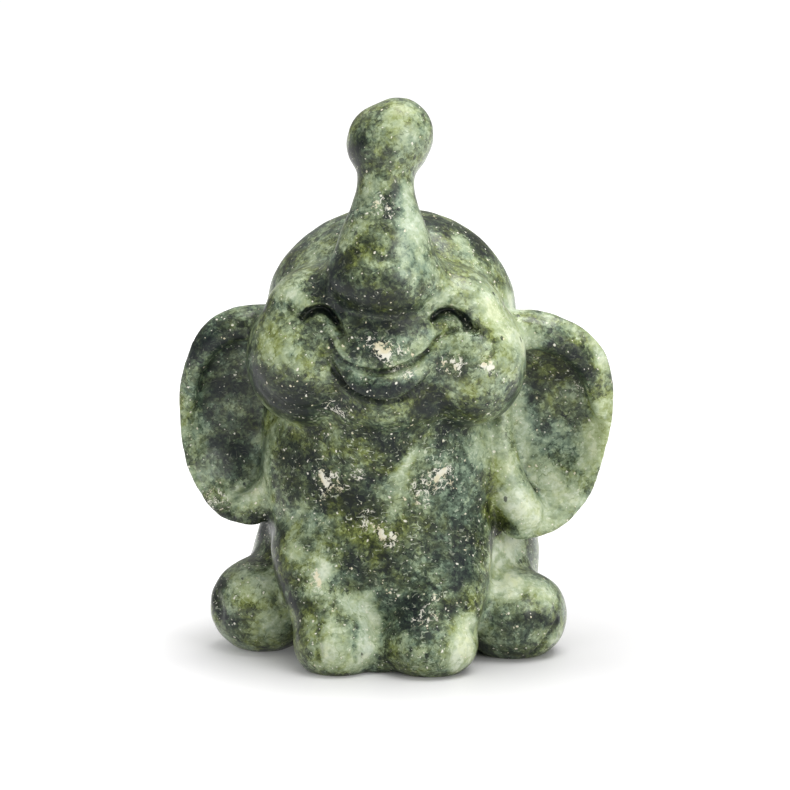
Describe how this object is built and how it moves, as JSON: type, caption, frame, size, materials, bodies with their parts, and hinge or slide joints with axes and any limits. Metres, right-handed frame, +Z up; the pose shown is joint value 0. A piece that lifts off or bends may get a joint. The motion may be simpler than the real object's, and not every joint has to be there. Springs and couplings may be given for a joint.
{
  "type": "elephant figurine",
  "caption": "Seated baby elephant carved from mottled green stone, trunk raised, smiling face, large dished ears, flat underside to stand on.",
  "frame": {"origin": "middle of the figure's bounding box, on the plane it stands on", "axes": "+Z up along the raised trunk, the face looks along -Y, the elephant's own left side is at +X"},
  "size_m": [0.0584, 0.0432, 0.076],
  "materials": {
    "jade": "polished"
  },
  "bodies": {
    "root": {"elephant": "jade"}
  },
  "joints": []
}
